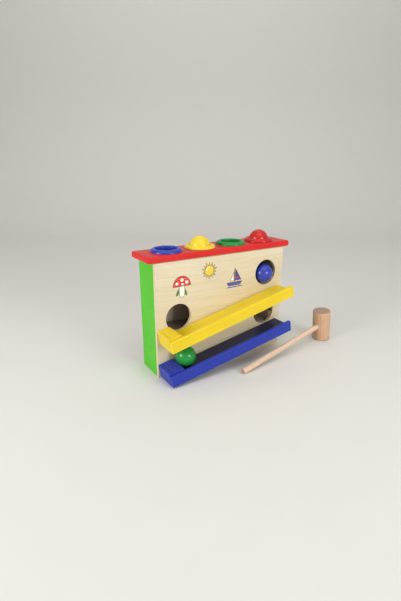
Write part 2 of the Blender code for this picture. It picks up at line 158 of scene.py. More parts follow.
class ToyColours(bpy.types.PropertyGroup):
    """Colours of the paints, plastics, inks, woods and steel."""

    red: colour("Red", "Top board and prints", "D82E2D")
    ruby: colour("Ruby", "One ring and one ball", "C4231F")
    green: colour("Green", "End boards", "55C02B")
    yellow: colour("Yellow", "Upper ramp, one ring, one ball and prints", "EBCE30")
    blue: colour("Blue", "Lower ramp, one ring, one ball and prints", "3342A8")
    # Painted shade: the lower ramp's floor gets a darker blue than its lip, to stand for the shadow of the
    # upper ramp above it.
    navy: colour("Navy", "Floor of the lower ramp", "3B3E66")
    leaf: colour("Leaf Green", "One ring, one ball and prints", "1F8E3C")
    birch: colour("Birch", "Pale wood of the front panel and the base board", "E2D6B8")
    birch_line: colour("Birch Line", "Darker wood lines of the front panel and the base board", "D0BB92")
    beech: colour("Beech", "Mallet head and dowels", "D6AE8E")
    beech_line: colour("Beech Line", "Darker year lines of the beech", "BC8C67")
    beech_end: colour("Beech End Grain", "Sawn ends of the mallet", "B89A85")
    beech_end_line: colour("Beech End Line", "Year lines on the sawn ends of the mallet", "98785F")
    handle: colour("Handle", "Pale dowel of the mallet", "E6CBB2")
    handle_line: colour("Handle Line", "Darker lines of the mallet's dowel", "CEA98A")
    hardboard: colour("Hardboard", "Chutes and wedges inside", "8F7D74")
    fibreboard: colour("Fibreboard", "Back panel and the bare inner faces of painted boards", "CDBDB0")
    ink: colour("Ink", "Dark lines of the prints", "33241F")
    chalk: colour("Chalk", "Pale parts of the prints", "F6EFE2")
    steel: colour("Steel", "Pin heads on the back panel", "9A9691")


class ToySizes(bpy.types.PropertyGroup):
    """Sizes of the finish on each piece."""

    # On enamel the band is mixed paler: partly thin paint, partly a painted highlight along the edges.
    rim: length("Rim", "Band along an edge where the paint is thinner or the wood is handled", 1.2)
    paint_grain: length("Paint Grain", "Spacing of the wood lines that show through the paint", 1.1)
    paint_run: length("Paint Grain Length", "Length of the wood lines that show through the paint", 40.0)
    peel: length("Paint Ripple", "Spacing of the ripple in the paint", 2.2)
    birch_grain: length("Birch Grain", "Spacing of the lines in the birch face", 2.6)
    birch_run: length("Birch Grain Length", "Length of the lines in the birch face", 130.0)
    birch_band: length("Birch Band", "Width of the broad bands in the birch face", 23.4)
    birch_sway: length("Birch Sway", "How far the lines in the birch face sway to the side", 22.0)
    pore: length("Pore", "Spacing of the pores in the birch face", 0.4)
    pore_run: length("Pore Length", "Length of the pores in the birch face", 6.0)
    ply: length("Ply", "Thickness of one layer of the plywood", 1.0)
    edge_fibre: length("Edge Fibre", "Spacing of the torn fibres along a plywood edge", 1.2)
    edge_layer: length("Edge Layer", "Spacing of the torn fibres through a plywood edge", 0.5)
    year_ring: length("Year Ring", "Spacing of the year rings in turned wood", 2.4)
    wood_line: length("Wood Line", "Spacing of the fine lines in turned wood", 0.8)
    wood_run: length("Wood Line Length", "Length of the fine lines in turned wood", 60.0)
    fleck: length("Fleck", "Length of the flecks in turned wood", 1.7)
    fleck_width: length("Fleck Width", "Width of the flecks in turned wood", 0.22)
    fibre: length("Fibre", "Length of the fibres in pressed board", 1.8)
    fibre_cloud: length("Fibre Cloud", "Width of the paler and darker clouds in pressed board", 21.6)
    mould_grain: length("Mould Grain", "Spacing of the texture that the mould leaves on plastic", 0.7)
    mould_flow: length("Mould Flow", "Width of the swirls that the flow leaves in plastic", 9.8)
    lathe_line: length("Lathe Line", "Spacing of the turning lines on the balls", 0.9)
    ball_run: length("Ball Grain Length", "Length of the wood lines that show through the lacquer", 15.4)
    ball_mark: length("Ball Mark", "Depth of the lathe's mark at each end of a ball", 0.35)
    print_height: length("Print Height", "Height of each print on the front panel", 31.0)
    ink_layer: length("Ink Layer", "Thickness of one layer of ink", 0.03)
    ink_line: length("Ink Line", "Width of the dark lines round a print", 0.6)
    ink_streak: length("Ink Streak", "Spacing of the thin streaks in the ink", 0.8667)
    ink_run: length("Ink Streak Length", "Length of the thin streaks in the ink", 32.5)
    pin_head: length("Pin Head", "Diameter of the pin heads on the back panel", 2.6)
    pin_rise: length("Pin Rise", "Height of the pin heads on the back panel", 0.325)
    pin_gap: length("Pin Gap", "Distance of the pins from the edge of the back panel", 4.5)
    pin_dent: length("Pin Dent", "Spacing of the dents in the pin heads", 0.5)


class ToySteps(bpy.types.PropertyGroup):
    """How finely round pieces are made."""

    round_steps: IntProperty(name="Round Steps", description="Sides of a ring or a ball", default=96, min=24)
    ball_steps: IntProperty(name="Ball Steps", description="Rings of faces on a ball", default=48, min=12)
    print_steps: IntProperty(name="Print Steps", description="Sides of a printed disc", default=48, min=12)
    pin_steps: IntProperty(name="Pin Steps", description="Sides of a pin head", default=20, min=8)
    paper_steps: IntProperty(name="Paper Steps", description="Steps in the paper's bend", default=24, min=6)


class ToyStage(bpy.types.PropertyGroup):
    """The studio: paper, lamps and camera."""

    paper: colour("Paper", "Pale paper under and behind the toy", "E2E0DB")
    paper_cloud: length("Paper Cloud", "Width of the slight clouds in the paper", 40.0)
    paper_front: length("Paper Front", "Reach of the paper to the front", 9000.0)
    paper_back: length("Paper Back", "Reach of the paper to the back, up to its bend", 1100.0)
    paper_side: length("Paper Side", "Reach of the paper to each side", 9000.0)
    paper_bend: length("Paper Bend", "Radius of the bend where the paper turns up", 700.0)
    paper_wall: length("Paper Wall", "Height of the paper above its bend", 3000.0)
    left_lamp: power("Left Lamp", "Power of the left lamp", 7.6)
    right_lamp: power("Right Lamp", "Power of the right lamp", 6.6)
    top_lamp: power("Top Lamp", "Power of the top lamp", 3.6)
    wall_lamp: power("Wall Lamp", "Power of the lamp on the paper's wall", 7.0)
    room_light: FloatProperty(name="Room Light", description="Strength of the light all round", default=0.47)
    room_tint: colour("Room Tint", "Colour of the light all round", "FFFEFC")
    lens: FloatProperty(name="Lens", description="Focal length of the camera", default=23.35, unit="CAMERA")
    camera: point("Camera", "Place of the camera", -321.3, -476.2, 286.5)
    aim: point("Aim", "Point in the middle of the picture", -16.8, 15.0, 88.2)


def add(tree, kind, inputs=None, out=0, **settings):
    """Adds a shader node with its settings, sets or links its inputs, and gives one of its outputs."""
    node = tree.nodes.new("ShaderNode" + kind)
    for key, value in settings.items():
        setattr(node, key, value)
    for key, value in (inputs or {}).items():
        if isinstance(value, bpy.types.NodeSocket):
            tree.links.new(value, node.inputs[key])
        else:
            node.inputs[key].default_value = value
    return node.outputs[out]


def start_material(name, sockets=None):
    """A material of this name and its node tree, with constant values on its shader's sockets."""
    material = bpy.data.materials.new(name)
    material.use_nodes = True
    tree = material.node_tree
    for key, value in (sockets or {}).items():
        tree.nodes[SHADER].inputs[key].default_value = value
    return material, tree


def connect(tree, base, roughness, normal=None):
    """Links what a material's patterns give to its shader."""
    shader = tree.nodes[SHADER]
    tree.links.new(base, shader.inputs["Base Color"])
    tree.links.new(roughness, shader.inputs["Roughness"])
    if normal is not None:
        tree.links.new(normal, shader.inputs["Normal"])


def streaks(tree, place, lengths, detail):
    """Grain drawn out into streaks, which are as long as these lengths along the three axes of the place."""
    scale = tuple(1 / size for size in lengths)
    stretched = add(tree, "VectorMath", {0: place, 1: scale}, operation="MULTIPLY")
    return add(tree, "TexNoise", {"Vector": stretched, "Scale": 1.0, "Detail": detail})


def tone(base, amount=1.0):
    """The colour, darker below 1 and lighter above."""
    return tuple(min(1.0, value * amount) for value in base) + (1.0,)


def enamel(name, base):
    """Gloss enamel on wood: an even colour and a soft gloss. The grain below shows as faint lines, the flow
    of the paint as a ripple in reflections, and edges are a little paler: partly where it drew thin, partly a
    painted highlight along the edges."""
    sizes = bpy.context.scene.toy_sizes
    material, tree = start_material(
        name, {"Specular IOR Level": 0.1, "Coat Weight": 0.04, "Coat Roughness": 0.12}
    )
    grain = add(tree, "Attribute", out="Vector", attribute_name="grain")
    rim = add(tree, "Attribute", out="Fac", attribute_name="rim")
    lines = streaks(tree, grain, (sizes.paint_run, sizes.paint_grain, sizes.paint_grain), detail=3.0)
    peel = add(tree, "TexNoise", {"Vector": grain, "Scale": 1 / sizes.peel, "Detail": 1.0})
    clouds = add(tree, "TexNoise", {"Vector": grain, "Scale": 1 / sizes.paint_run, "Detail": 2.0})
    cloud = add(tree, "MapRange", {"Value": clouds, **SPAN})
    line = add(tree, "MapRange", {"Value": lines, "From Min": 0.35, "From Max": 0.75, "To Max": 0.35})
    # Edges are mixed paler: partly paint drawn thin, partly a painted highlight along the edges.
    thin = add(tree, "MapRange", {"Value": lines, **SPAN, "To Max": 0.4})
    thin_edge_and_highlight = add(tree, "Math", {0: thin, 1: rim}, operation="MULTIPLY")
    coat = tone(base, 0.94)
    for share, amount in ((cloud, 1.04), (line, 0.8), (thin_edge_and_highlight, 1.3)):
        coat = add(tree, "Mix", {SHARE: share, FIRST: coat, SECOND: tone(base, amount)}, **MIX)
    gloss = add(tree, "MapRange", {"Value": peel, **SPAN, "To Min": 0.26, "To Max": 0.38})
    relief = add(tree, "Bump", {"Strength": 0.25, "Distance": 0.05 * MM, "Height": peel})
    relief = add(tree, "Bump", {"Strength": 0.5, "Distance": 0.06 * MM, "Height": lines, "Normal": relief})
    connect(tree, coat, gloss, relief)
    return material


def birch_face():
    """Birch plywood with a thin clear lacquer: pale and silky, with long soft lines, a slow change of tone
    along the board and short dark pores, drawn about twice their real length to show."""
    sizes = bpy.context.scene.toy_sizes
    colours = bpy.context.scene.toy_colours
    material, tree = start_material(
        "birch plywood face, lacquered", {"Coat Weight": 0.12, "Coat Roughness": 0.3}
    )
    grain = add(tree, "Attribute", out="Vector", attribute_name="grain")
    rim = add(tree, "Attribute", out="Fac", attribute_name="rim")
    drift = add(tree, "TexNoise", {"Vector": grain, "Scale": 1 / sizes.birch_run, "Detail": 1.0}, out="Color")
    sway = add(tree, "VectorMath", {0: drift, 1: (0.0, 0.0, sizes.birch_sway)}, operation="MULTIPLY")
    bent = add(tree, "VectorMath", {0: grain, 1: sway}, operation="ADD")
    lines = streaks(tree, bent, (sizes.birch_run, sizes.birch_grain, sizes.birch_grain), detail=4.0)
    bands = streaks(tree, bent, (sizes.birch_run, sizes.birch_band, sizes.birch_band), detail=1.0)
    pores = streaks(tree, grain, (sizes.pore_run, sizes.pore, sizes.pore), detail=0.0)
    line = add(tree, "MapRange", {"Value": lines, "From Min": 0.42, "From Max": 0.75, "To Max": 0.6})
    band = add(tree, "MapRange", {"Value": bands, "From Min": 0.35, "From Max": 0.65, "To Max": 0.4})
    pore = add(tree, "MapRange", {"Value": pores, "From Min": 0.66, "From Max": 0.8, "To Max": 0.3})
    edge = add(tree, "MapRange", {"Value": rim, "To Max": 0.15})
    wood = tone(colours.birch)
    for share, amount in ((band, 1.0), (line, 1.0), (pore, 0.6), (edge, 0.8)):
        wood = add(tree, "Mix", {SHARE: share, FIRST: wood, SECOND: tone(colours.birch_line, amount)}, **MIX)
    gloss = add(tree, "MapRange", {"Value": lines, **SPAN, "To Min": 0.42, "To Max": 0.56})
    relief = add(tree, "Bump", {"Strength": 0.4, "Distance": 0.05 * MM, "Height": pores})
    relief = add(tree, "Bump", {"Strength": 0.4, "Distance": 0.08 * MM, "Height": lines, "Normal": relief})
    connect(tree, wood, gloss, relief)
    return material


def birch_edge():
    """Sawn and sanded plywood edge: thin layers, by turns pale and brown, with a dull broken surface."""
    sizes = bpy.context.scene.toy_sizes
    colours = bpy.context.scene.toy_colours
    material, tree = start_material("birch plywood edge, sanded")
    grain = add(tree, "Attribute", out="Vector", attribute_name="grain")
    # A pale and a brown layer are one wave.
    scale = WAVE_LENGTH / (2 * sizes.ply)
    inputs = {"Vector": grain, "Scale": scale, "Distortion": 0.4, "Detail": 2.0, "Detail Scale": 1.5}
    layers = add(tree, "TexWave", inputs, out="Fac", wave_type="BANDS", bands_direction="Y")
    fibres = streaks(tree, grain, (sizes.edge_fibre, sizes.edge_layer, sizes.edge_fibre), detail=2.0)
    layer = add(tree, "MapRange", {"Value": layers, "From Min": 0.35, "From Max": 0.65, "To Max": 0.75})
    fibre = add(tree, "MapRange", {"Value": fibres, "From Min": 0.4, "From Max": 0.8, "To Max": 0.5})
    wood = tone(colours.birch, 1.06)
    for share, amount in ((layer, 0.86), (fibre, 0.7)):
        wood = add(tree, "Mix", {SHARE: share, FIRST: wood, SECOND: tone(colours.birch_line, amount)}, **MIX)
    dull = add(tree, "MapRange", {"Value": fibres, **SPAN, "To Min": 0.6, "To Max": 0.75})
    relief = add(tree, "Bump", {"Strength": 0.6, "Distance": 0.1 * MM, "Height": layers})
    connect(tree, wood, dull, relief)
    return material


def turned_wood(name, pale, dark, marked=True):
    """Turned and sanded wood: warm, dull to silky, with year rings, fine lines and short dark flecks along
    the grain. End grain gets darker colours, because the cut pores take up dirt and light. On a piece that
    isn't marked with its grain, the pattern runs along the x axis."""
    sizes = bpy.context.scene.toy_sizes
    material, tree = start_material(name)
    if marked:
        grain = add(tree, "Attribute", out="Vector", attribute_name="grain")
    else:
        grain = add(tree, "TexCoord", out="Object")
    pith = add(tree, "Mapping", {"Vector": grain, "Location": PITH})
    scale = WAVE_LENGTH / sizes.year_ring
    inputs = {"Vector": pith, "Scale": scale, "Distortion": 0.8, "Detail": 2.0, "Detail Scale": 0.6}
    years = add(
        tree, "TexWave", inputs, out="Fac", wave_type="RINGS", rings_direction="X", wave_profile="SAW"
    )
    lines = streaks(tree, grain, (sizes.wood_run, sizes.wood_line, sizes.wood_line), detail=3.0)
    flecks = streaks(tree, grain, (sizes.fleck, sizes.fleck_width, sizes.fleck_width), detail=0.0)
    year = add(tree, "MapRange", {"Value": years, "From Min": 0.4, "To Max": 0.55})
    line = add(tree, "MapRange", {"Value": lines, "From Min": 0.4, "From Max": 0.75, "To Max": 0.5})
    fleck = add(tree, "MapRange", {"Value": flecks, "From Min": 0.62, "From Max": 0.74, "To Max": 0.55})
    wood = tone(pale)
    for share, amount in ((year, 1.0), (line, 1.0), (fleck, 0.6)):
        wood = add(tree, "Mix", {SHARE: share, FIRST: wood, SECOND: tone(dark, amount)}, **MIX)
    dull = add(tree, "MapRange", {"Value": lines, **SPAN, "To Min": 0.48, "To Max": 0.62})
    relief = add(tree, "Bump", {"Strength": 0.4, "Distance": 0.06 * MM, "Height": lines})
    relief = add(tree, "Bump", {"Strength": 0.3, "Distance": 0.08 * MM, "Height": flecks, "Normal": relief})
    connect(tree, wood, dull, relief)
    return material


def abs_plastic(name, base):
    """Moulded ABS: a deep even colour with a clean gloss, broken by the fine texture that the mould leaves,
    drawn about three times as coarse as it is to show."""
    sizes = bpy.context.scene.toy_sizes
    material, tree = start_material(
        name, {"Specular IOR Level": 0.3, "Coat Weight": 0.08, "Coat Roughness": 0.1}
    )
    grain = add(tree, "Attribute", out="Vector", attribute_name="grain")
    fine = add(tree, "TexNoise", {"Vector": grain, "Scale": 1 / sizes.mould_grain, "Detail": 2.0})
    flow = add(tree, "TexNoise", {"Vector": grain, "Scale": 1 / sizes.mould_flow, "Detail": 1.0})
    swirl = add(tree, "MapRange", {"Value": flow, **SPAN})
    plastic = add(tree, "Mix", {SHARE: swirl, FIRST: tone(base, 0.92), SECOND: tone(base, 1.06)}, **MIX)
    gloss = add(tree, "MapRange", {"Value": fine, **SPAN, "To Min": 0.2, "To Max": 0.32})
    relief = add(tree, "Bump", {"Strength": 0.12, "Distance": 0.04 * MM, "Height": fine})
    connect(tree, plastic, gloss, relief)
    return material


def ball_lacquer(name, base):
    """Dipped lacquer on a turned wooden ball: strong clear gloss over a full colour, with soft wood lines
    below and faint lathe lines round the ball, drawn about twice as coarse as they are to show."""
    sizes = bpy.context.scene.toy_sizes
    material, tree = start_material(
        name, {"Specular IOR Level": 0.3, "Coat Weight": 0.25, "Coat Roughness": 0.05}
    )
    grain = add(tree, "Attribute", out="Vector", attribute_name="grain")
    scale = WAVE_LENGTH / sizes.lathe_line
    inputs = {"Vector": grain, "Scale": scale, "Distortion": 0.6, "Detail": 1.0, "Detail Scale": 0.5}
    lathe = add(tree, "TexWave", inputs, out="Fac", wave_type="BANDS", bands_direction="X")
    lines = streaks(tree, grain, (sizes.paint_grain, sizes.paint_grain, sizes.ball_run), detail=3.0)
    line = add(tree, "MapRange", {"Value": lines, "From Min": 0.35, "From Max": 0.75, "To Max": 0.4})
    lacquer = add(tree, "Mix", {SHARE: line, FIRST: tone(base, 1.04), SECOND: tone(base, 0.78)}, **MIX)
    gloss = add(tree, "MapRange", {"Value": lines, **SPAN, "To Min": 0.2, "To Max": 0.3})
    relief = add(tree, "Bump", {"Strength": 0.06, "Distance": 0.04 * MM, "Height": lathe})
    relief = add(tree, "Bump", {"Strength": 0.12, "Distance": 0.05 * MM, "Height": lines, "Normal": relief})
    connect(tree, lacquer, gloss, relief)
    return material


def pressed_board(name, base):
    """Board pressed from wood fibres: brown, dull, with matted short fibres in paler and darker browns."""
    sizes = bpy.context.scene.toy_sizes
    material, tree = start_material(name)
    place = add(tree, "TexCoord", out="Object")
    inputs = {"Vector": place, "Scale": 1 / sizes.fibre, "Detail": 3.0, "Distortion": 1.5}
    fibres = add(tree, "TexNoise", inputs)
    clouds = add(tree, "TexNoise", {"Vector": place, "Scale": 1 / sizes.fibre_cloud, "Detail": 2.0})
    fibre = add(tree, "MapRange", {"Value": fibres, "From Min": 0.35, "From Max": 0.68})
    cloud = add(tree, "MapRange", {"Value": clouds, "From Min": 0.35, "From Max": 0.65, "To Max": 0.5})
    mat = tone(base, 0.88)
    for share, amount in ((fibre, 1.14), (cloud, 0.9)):
        mat = add(tree, "Mix", {SHARE: share, FIRST: mat, SECOND: tone(base, amount)}, **MIX)
    dull = add(tree, "MapRange", {"Value": fibres, **SPAN, "To Min": 0.5, "To Max": 0.66})
    relief = add(tree, "Bump", {"Strength": 0.4, "Distance": 0.06 * MM, "Height": fibres})
    connect(tree, mat, dull, relief)
    return material


def printed_ink(name, base):
    """Screen printed ink: flat and nearly dull, a little thinner along the wood lines below."""
    sizes = bpy.context.scene.toy_sizes
    material, tree = start_material(name)
    place = add(tree, "TexCoord", out="Object")
    lines = streaks(tree, place, (sizes.ink_run, sizes.ink_streak, sizes.ink_streak), detail=3.0)
    thin = add(tree, "MapRange", {"Value": lines, "From Min": 0.5, "From Max": 0.8, "To Max": 0.4})
    wood = tone(bpy.context.scene.toy_colours.birch)
    ink = add(tree, "Mix", {SHARE: thin, FIRST: tone(base), SECOND: wood}, **MIX)
    dull = add(tree, "MapRange", {"Value": lines, **SPAN, "To Min": 0.45, "To Max": 0.6})
    connect(tree, ink, dull)
    return material


def pin_steel():
    """Drawn steel pin heads, tumbled: grey, half bright, with fine dents that break the shine."""
    size = bpy.context.scene.toy_sizes.pin_dent
    base = bpy.context.scene.toy_colours.steel
    material, tree = start_material("steel, tumbled", {"Metallic": 1.0})
    place = add(tree, "TexCoord", out="Object")
    dents = add(tree, "TexNoise", {"Vector": place, "Scale": 1 / size, "Detail": 2.0})
    steel = add(tree, "Mix", {SHARE: dents, FIRST: tone(base, 0.8), SECOND: tone(base, 1.2)}, **MIX)
    dull = add(tree, "MapRange", {"Value": dents, **SPAN, "To Min": 0.28, "To Max": 0.5})
    connect(tree, steel, dull)
    return material


def studio_paper():
    """Seamless studio paper: pale, quite dull, with a very slight change of tone."""
    stage = bpy.context.scene.toy_stage
    material, tree = start_material("studio paper, seamless")
    place = add(tree, "TexCoord", out="Object")
    clouds = add(tree, "TexNoise", {"Vector": place, "Scale": 1 / stage.paper_cloud, "Detail": 3.0})
    dark = tone(stage.paper, 0.985)
    pale = tone(stage.paper, 1.015)
    paper = add(tree, "Mix", {SHARE: clouds, FIRST: dark, SECOND: pale}, **MIX)
    dull = add(tree, "MapRange", {"Value": clouds, **SPAN, "To Min": 0.86, "To Max": 0.94})
    connect(tree, paper, dull)
    return material


def shared(name, maker, base):
    """The material of this name, made at its first use."""
    return bpy.data.materials.get(name) or maker(name, base)


def paint(name):
    """The enamel of one colour, which all boards of that colour share."""
    return shared("enamel on wood, %s" % name, enamel, getattr(bpy.context.scene.toy_colours, name))


def raw_board():
    """The fibreboard of the back panel and of the boards' bare inner faces."""
    return shared("fibreboard, pressed and raw", pressed_board, bpy.context.scene.toy_colours.fibreboard)


def loose_colour(name):
    """The colour of the ring and the ball of this name."""
    return getattr(bpy.context.scene.toy_colours, LOOSE_COLOURS.get(name, name))


def middle(node):
    """The middle of a node's box."""
    low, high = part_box(node)
    return (low + high) / 2


def welded(node):
    """A copy of a node's mesh with its triangles joined."""
    bm = bmesh.new()
    bm.from_mesh(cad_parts[node].data)
    bmesh.ops.remove_doubles(bm, verts=bm.verts[:], dist=WELD)
    return bm


def cut(bm, place, direction, **options):
    """Cuts all of a mesh along the plane through a place that looks in this direction."""
    everything = bm.verts[:] + bm.edges[:] + bm.faces[:]
    bmesh.ops.bisect_plane(bm, geom=everything, plane_co=place, plane_no=direction, **options)


def points_of(geometry):
    """The vertices among what an operator made."""
    return [item for item in geometry if isinstance(item, bmesh.types.BMVert)]


def own_axes(node):
    """The directions along, across and through a piece. Its longest edge gives the first."""
    bm = welded(node)
    bmesh.ops.dissolve_limit(bm, angle_limit=FLAT_TURN, verts=bm.verts[:], edges=bm.edges[:])
    edge = max(bm.edges, key=lambda item: item.calc_length())
    along = (edge.verts[1].co - edge.verts[0].co).normalized()
    bm.free()
    side = BACK if abs(along.y) < SAME_WAY else RIGHT
    across = (side - side.dot(along) * along).normalized()
    return along, across, along.cross(across)


def mark_grain(bm, axes, origin):
    """Stores each vertex's place along the piece's own axes, for the patterns of its material."""
    layer = bm.verts.layers.float_vector.new("grain")
    for vert in bm.verts:
        vert[layer] = [axis.dot(vert.co - origin) for axis in axes]


def mark_rims(bm, axes):
    """Cuts the faces a little way in from the edges, and stores 1 along the edges and 0 on the flats."""
    width = bpy.context.scene.toy_sizes.rim
    spans = []
    for axis in axes:
        heights = [axis.dot(vert.co) for vert in bm.verts]
        spans.append((axis, min(heights), max(heights)))
    for axis, low, high in spans:
        for height in (low + width, high - width):
            cut(bm, axis * height, axis, dist=WELD)
    layer = bm.verts.layers.float.new("rim")
    for vert in bm.verts:
        ends = 0
        for axis, low, high in spans:
            height = axis.dot(vert.co)
            ends += min(height - low, high - height) < width - WELD
        vert[layer] = float(ends > 1)
    bm.normal_update()


def settle(name, bm, body, slot, materials, *nodes):
    """Makes the finished piece, evens its shading and ties it to the frame."""
    bmesh.ops.dissolve_degenerate(bm, dist=WELD, edges=bm.edges[:])
    mesh = bpy.data.meshes.new(name)
    bm.to_mesh(mesh)
    bm.free()
    for layer in ("custom_normal", "sharp_edge", "sharp_face"):
        if layer in mesh.attributes:
            mesh.attributes.remove(mesh.attributes[layer])
    mesh.shade_smooth()
    mesh.set_sharp_from_angle(angle=SHARP_TURN)
    for material in materials:
        mesh.materials.append(material)
    piece = bpy.data.objects.new(name, mesh)
    bpy.context.scene.collection.objects.link(piece)
    even = piece.modifiers.new("even faces", "WEIGHTED_NORMAL")
    even.keep_sharp = True
    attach(piece, body)
    if nodes:
        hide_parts(*nodes)


def painted_board(node, colour_name, slot, bare=None):
    """A board of the frame, with enamel and marked edges. Faces that look the bare way stay raw board."""
    bm = welded(node)
    axes = own_axes(node)
    mark_rims(bm, axes)
    mark_grain(bm, axes, middle(node))
    materials = [paint(colour_name)]
    if bare:
        materials.append(raw_board())
        for face in bm.faces:
            if face.normal.dot(bare) > SAME_WAY:
                face.material_index = 1
    settle(node + "_painted", bm, "toy", slot, materials, node)


def stamp(motif, level, ink, at, size, cuts=(), turn=0.0, sides=None, lined=True):
    """Adds one inked shape to a print: an oval with straight cuts, or a shape with few sides.

    Its middle and its two radii are in halves of the print's height, and it turns about the print's middle.
    A cut is a point and the direction of what goes. Levels lie on each other, and a dark line runs round.
    """
    sizes = bpy.context.scene.toy_sizes
    steps = sides or bpy.context.scene.toy_steps.print_steps
    oval = Matrix.Translation((*at, 0.0)) @ Matrix.Diagonal((*size, 1.0, 1.0))
    place = Matrix.Rotation(turn, 4, "Z") @ oval
    shape = bmesh.new()
    bmesh.ops.create_circle(shape, cap_ends=True, segments=steps, radius=1.0, matrix=place)
    for spot, away in cuts:
        cut(shape, (*spot, 0.0), (*away, 0.0), clear_outer=True)
    for face in shape.faces:
        face.material_index = INK_NAMES.index(ink)
    if lined:
        width = 2 * sizes.ink_line / sizes.print_height
        line = bmesh.ops.inset_individual(
            shape, faces=shape.faces[:], thickness=width, use_even_offset=True
        )["faces"]
        for face in line:
            face.material_index = INK_NAMES.index("ink")
    raised = bmesh.ops.extrude_face_region(shape, geom=shape.faces[:])["geom"]
    bmesh.ops.translate(shape, vec=UP * sizes.ink_layer, verts=points_of(raised))
    bmesh.ops.translate(shape, vec=UP * (level + INK_GAP) * sizes.ink_layer, verts=shape.verts[:])
    mesh = bpy.data.meshes.new("inked shape")
    shape.to_mesh(mesh)
    shape.free()
    motif.from_mesh(mesh)
    bpy.data.meshes.remove(mesh)


def draw_toadstool(motif):
    """A spotted red cap on a pale stem, with two blades of grass."""
    grass_foot = ((0.0, -0.98), PRINT_DOWN)
    stem_foot = ((0.0, -1.0), PRINT_DOWN)
    brim = ((0.0, 0.0), PRINT_DOWN)
    for lean in (-0.5, 0.42):
        stamp(motif, 0, "leaf", at=(0.2 * lean, -0.62), size=(0.13, 0.4), cuts=[grass_foot], turn=lean)
    stamp(motif, 1, "chalk", at=(0.0, -0.4), size=(0.3, 0.78), cuts=[stem_foot])
    stamp(motif, 2, "red", at=(0.0, 0.02), size=(0.92, 0.95), cuts=[brim])
    for x, y, radius in ((-0.5, 0.3, 0.15), (0.02, 0.6, 0.17), (0.5, 0.34, 0.16), (0.06, 0.2, 0.12)):
        stamp(motif, 3, "chalk", at=(x, y), size=(radius, 0.9 * radius), lined=False)


def draw_sun(motif):
    """A round sun with long and short rays by turns."""
    # A ray: how far out its tip is, and its size.
    long_ray = (0.8, 0.26)
    short_ray = (0.86, 0.2)
    for index in range(SUN_RAYS):
        reach, size = short_ray if index % 2 else long_ray
        turn = math.tau * index / SUN_RAYS
        stamp(motif, 0, "yellow", at=(0.0, reach - size), size=(0.15, size), turn=turn, sides=3)
    stamp(motif, 1, "yellow", at=(0.0, 0.0), size=(0.5, 0.5))
    stamp(motif, 2, "chalk", at=(-0.1, 0.12), size=(0.22, 0.2), lined=False)
    stamp(motif, 3, "yellow", at=(-0.04, 0.06), size=(0.22, 0.2), lined=False)


def draw_boat(motif):
    """A small boat with two sails, one with a red disc, on a band of water."""
    deck = ((0.0, -0.42), PRINT_UP)
    keel = ((0.0, -0.78), PRINT_DOWN)
    boom = ((0.0, -0.3), PRINT_DOWN)
    water_foot = ((0.0, -0.96), PRINT_DOWN)
    large_sail = [boom, ((0.07, 0.0), PRINT_LEFT), ((0.07, 0.95), (1.2, 0.72))]
    small_sail = [boom, ((-0.07, 0.0), PRINT_RIGHT), ((-0.07, 0.62), (-1.0, 0.55))]
    stamp(motif, 0, "ink", at=(0.0, 0.2), size=(0.045, 0.8), lined=False)
    stamp(motif, 1, "blue", at=(0.0, -0.42), size=(0.9, 0.5), cuts=[deck, keel])
    for ink, sail in (("blue", large_sail), ("chalk", small_sail)):
        stamp(motif, 1, ink, at=(0.0, 0.2), size=(1.2, 1.2), cuts=sail)
    stamp(motif, 2, "red", at=(0.3, 0.02), size=(0.16, 0.16))
    for x in (-0.6, 0.0, 0.6):
        stamp(motif, 0, "blue", at=(x, -0.98), size=(0.36, 0.12), cuts=[water_foot], lined=False)


class TOY_OT_top_board(bpy.types.Operator):
    """Paints the top board"""

    bl_idname = "toy.top_board"
    bl_label = "Top Board"

    def execute(self, context):
        painted_board("top_board", "red", "red_paint", -UP)
        return {"FINISHED"}


class TOY_OT_end_boards(bpy.types.Operator):
    """Paints the two end boards"""

    bl_idname = "toy.end_boards"
    bl_label = "End Boards"

    def execute(self, context):
        for side, inward in (("left", RIGHT), ("right", -RIGHT)):
            painted_board(side + "_end_board", "green", "green_paint", inward)
        return {"FINISHED"}


class TOY_OT_ramps(bpy.types.Operator):
    """Paints the pieces of the two ramps"""

    bl_idname = "toy.ramps"
    bl_label = "Ramps"

    def execute(self, context):
        # The blue ramp's floor takes the darker blue, a painted shade for the upper ramp's shadow on it.
        for name, floor in (("yellow", "yellow"), ("blue", "navy")):
            for part in RAMP_PIECES:
                shade = floor if part == "floor" else name
                painted_board("%s_ramp_%s" % (name, part), shade, name + "_paint")
        return {"FINISHED"}


class TOY_OT_plywood(bpy.types.Operator):
    """Gives the front panel and the base board their birch faces and layered edges"""

    bl_idname = "toy.plywood"
    bl_label = "Plywood"

    def execute(self, context):
        materials = [birch_face(), birch_edge()]
        for node, through in (("front_panel", BACK), ("base_board", UP)):
            bm = welded(node)
            axes = RIGHT, through, RIGHT.cross(through)
            mark_rims(bm, axes)
            mark_grain(bm, axes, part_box(node)[0])
            for face in bm.faces:
                if abs(face.normal.dot(through)) < SAME_WAY:
                    face.material_index = 1
            settle(node + "_birch", bm, "toy", "plywood", materials, node)
        return {"FINISHED"}


class TOY_OT_prints(bpy.types.Operator):
    """Prints a toadstool, a sun and a boat on the front panel"""

    bl_idname = "toy.prints"
    bl_label = "Prints"

    def execute(self, context):
        colours = context.scene.toy_colours
        inks = [printed_ink("screen print ink, %s" % name, getattr(colours, name)) for name in INK_NAMES]
        half = context.scene.toy_sizes.print_height / 2
        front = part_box("front_panel")[0].y
        stand = Matrix.Rotation(QUARTER_TURN, 4, "X") @ Matrix.Diagonal((half, half, 1.0, 1.0))
        for name, (x, z, draw) in PRINTS.items():
            motif = bmesh.new()
            draw(motif)
            place = Matrix.Translation((x * MM, front, z * MM)) @ stand
            bmesh.ops.transform(motif, matrix=place, verts=motif.verts[:])
            bmesh.ops.recalc_face_normals(motif, faces=motif.faces[:])
            settle(name + "_print", motif, "toy", "plywood", inks)
        return {"FINISHED"}


